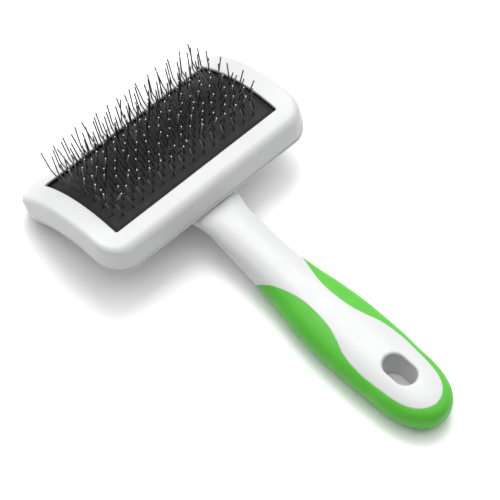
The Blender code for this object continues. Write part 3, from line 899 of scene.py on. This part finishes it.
def screw_pockets():
    cuts = []
    for i, y in enumerate(SCREWS):
        under = HEAD_RADIUS - math.sqrt((HEAD_RADIUS - HEAD_DEPTH) ** 2 - y * y)
        cuts.append((tube("pocket_%d" % i, y, under - 3.0, under + 3.9, 3.7, 40), "DIFFERENCE"))
        cuts.append((tube("shank_%d" % i, y, under, under + 16, 1.8, 28), "DIFFERENCE"))
        cuts.append((tube("counterbore_%d" % i, y, under + 6.6, under + 18, 3.5, 48), "DIFFERENCE"))
    return cuts


# ---- screws ------------------------------------------------------------------
def make_screw(name, node, y0):
    """Pan-head self-tapping screw: rolled thread, cross recess, head facing down."""
    under = HEAD_RADIUS - math.sqrt((HEAD_RADIUS - HEAD_DEPTH) ** 2 - y0 * y0)
    base = -(under + 6.9) - 1.7
    sides = 48
    mesh, rings = Mesh(head_to_world), []

    def ring(rad_of, z):
        return [(rad_of(k) * math.cos(2 * math.pi * k / sides), y0 + rad_of(k) * math.sin(2 * math.pi * k / sides),
                 base + z) for k in range(sides)]
    for rad, z in ((1.2, 0.0), (2.0, 0.04), (2.45, 0.16), (2.78, 0.38), (2.97, 0.68), (3.05, 1.05), (3.05, 1.6),
                   (2.97, 1.70), (1.5, 1.70), (1.27, 1.82)):
        rings.append(ring(lambda k, r=rad: r, z))
    pitch, z = 1.05, 1.95
    while z < 7.35:
        fade = min(1.0, (z - 1.9) / 0.7, (7.9 - z) / 1.2)

        def thread(k, zz=z, f=fade):
            ph = ((zz / pitch) - k / sides) % 1.0
            return 1.14 + 0.34 * f * max(0.0, 1 - abs(ph - 0.5) / 0.28)
        rings.append(ring(thread, z))
        z += pitch / 9
    rings.append(ring(lambda k: 0.95, 7.6))
    rings.append(ring(lambda k: 0.25, 8.3))
    for a, b in zip(rings, rings[1:]):
        mesh.strip(a, b, closed=True)
    mesh.face(rings[0])
    mesh.face(rings[-1])
    screw = mesh.build(name, [ZINC], node, "zinc_screw", 35)
    cross = Mesh(head_to_world)
    w, l = 0.42, 1.55
    plan = ((l, -w), (l, w), (w, w), (w, l), (-w, l), (-w, w), (-l, w), (-l, -w), (-w, -w), (-w, -l), (w, -l), (w, -w))
    rs = []
    for f, z in ((1.15, -0.6), (1.05, 0.1), (0.45, 1.2)):
        rs.append([(px * (f if abs(px) > w else 1), y0 + py * (f if abs(py) > w else 1), base + z) for px, py in plan])
    for a, b in zip(rs, rs[1:]):
        cross.strip(a, b, closed=True)
    cross.face(rs[0])
    cross.face(rs[-1])
    apply_booleans(screw, [(cross.build("cross_" + name, [ZINC]), "DIFFERENCE")], 35)


make_bezel()
make_back()
make_pad()
make_pins()
make_handle()
make_screw("screw_rear", "neck_screw_rear", SCREWS[0])
make_screw("screw_front", "neck_screw_front", SCREWS[1])

# ---- studio ------------------------------------------------------------------
floor_mesh = bpy.data.meshes.new("floor")
floor_mesh.from_pydata([(-6, -6, -0.0002), (6, -6, -0.0002), (6, 6, -0.0002), (-6, 6, -0.0002)], [], [(0, 1, 2, 3)])
floor = bpy.data.objects.new("floor", floor_mesh)
bpy.context.scene.collection.objects.link(floor)
fma, fnt, fb, fco = new_material("studio_floor")
fnt.links.new(ramp(fnt, noise(fnt, fco, 3.0, 2.0), [(0.3, (0.955, 0.955, 0.955)), (0.7, (0.97, 0.97, 0.97))]),
              fb.inputs["Base Color"])
fb.inputs["Roughness"].default_value = 0.95
fb.inputs["Specular IOR Level"].default_value = 0.0
floor_mesh.materials.append(fma)

scene = bpy.context.scene
world = bpy.data.worlds.new("studio")
scene.world = world
world.use_nodes = True
wnt = world.node_tree
bg = wnt.nodes["Background"]
wtc = wnt.nodes.new("ShaderNodeTexCoord")
wdot = wnt.nodes.new("ShaderNodeVectorMath")
wdot.operation = "DOT_PRODUCT"
wdot.inputs[1].default_value = (0.22, 0.24, 0.95)
wnt.links.new(wtc.outputs["Generated"], wdot.inputs[0])
wnt.links.new(ramp(wnt, wdot.outputs["Value"], [(0.10, (0.02, 0.02, 0.02)), (0.38, (0.10, 0.10, 0.10)), (0.74, (1.60, 1.60, 1.60))]),
              bg.inputs["Color"])
bg.inputs["Strength"].default_value = 1.0


def sun(name, direction, strength, angle):
    li = bpy.data.lights.new(name, "SUN")
    li.energy, li.angle = strength, math.radians(angle)
    ob = bpy.data.objects.new(name, li)
    bpy.context.scene.collection.objects.link(ob)
    ob.rotation_mode = "QUATERNION"
    ob.rotation_quaternion = Vector(direction).to_track_quat("Z", "Y")
    return ob


sun("key", (0.36, 0.40, 1.0), 1.45, 30)
sun("side", (-1.0, 0.30, 0.30), 0.03, 50)

cam_data = bpy.data.cameras.new("camera")
cam_data.sensor_width = 36.0
cam_data.lens = 180.0
cam_data.clip_start, cam_data.clip_end = 0.05, 20.0
cam = bpy.data.objects.new("camera", cam_data)
scene.collection.objects.link(cam)
cam.rotation_mode = "QUATERNION"
cam.location = (-0.40036097, -0.40604997 + (HEAD_Y - 71.447) * MM, 0.90231157)
cam.rotation_quaternion = (0.89051467, 0.26314487, -0.10537425, -0.35585765)
scene.camera = cam
scene.view_settings.view_transform = "Standard"
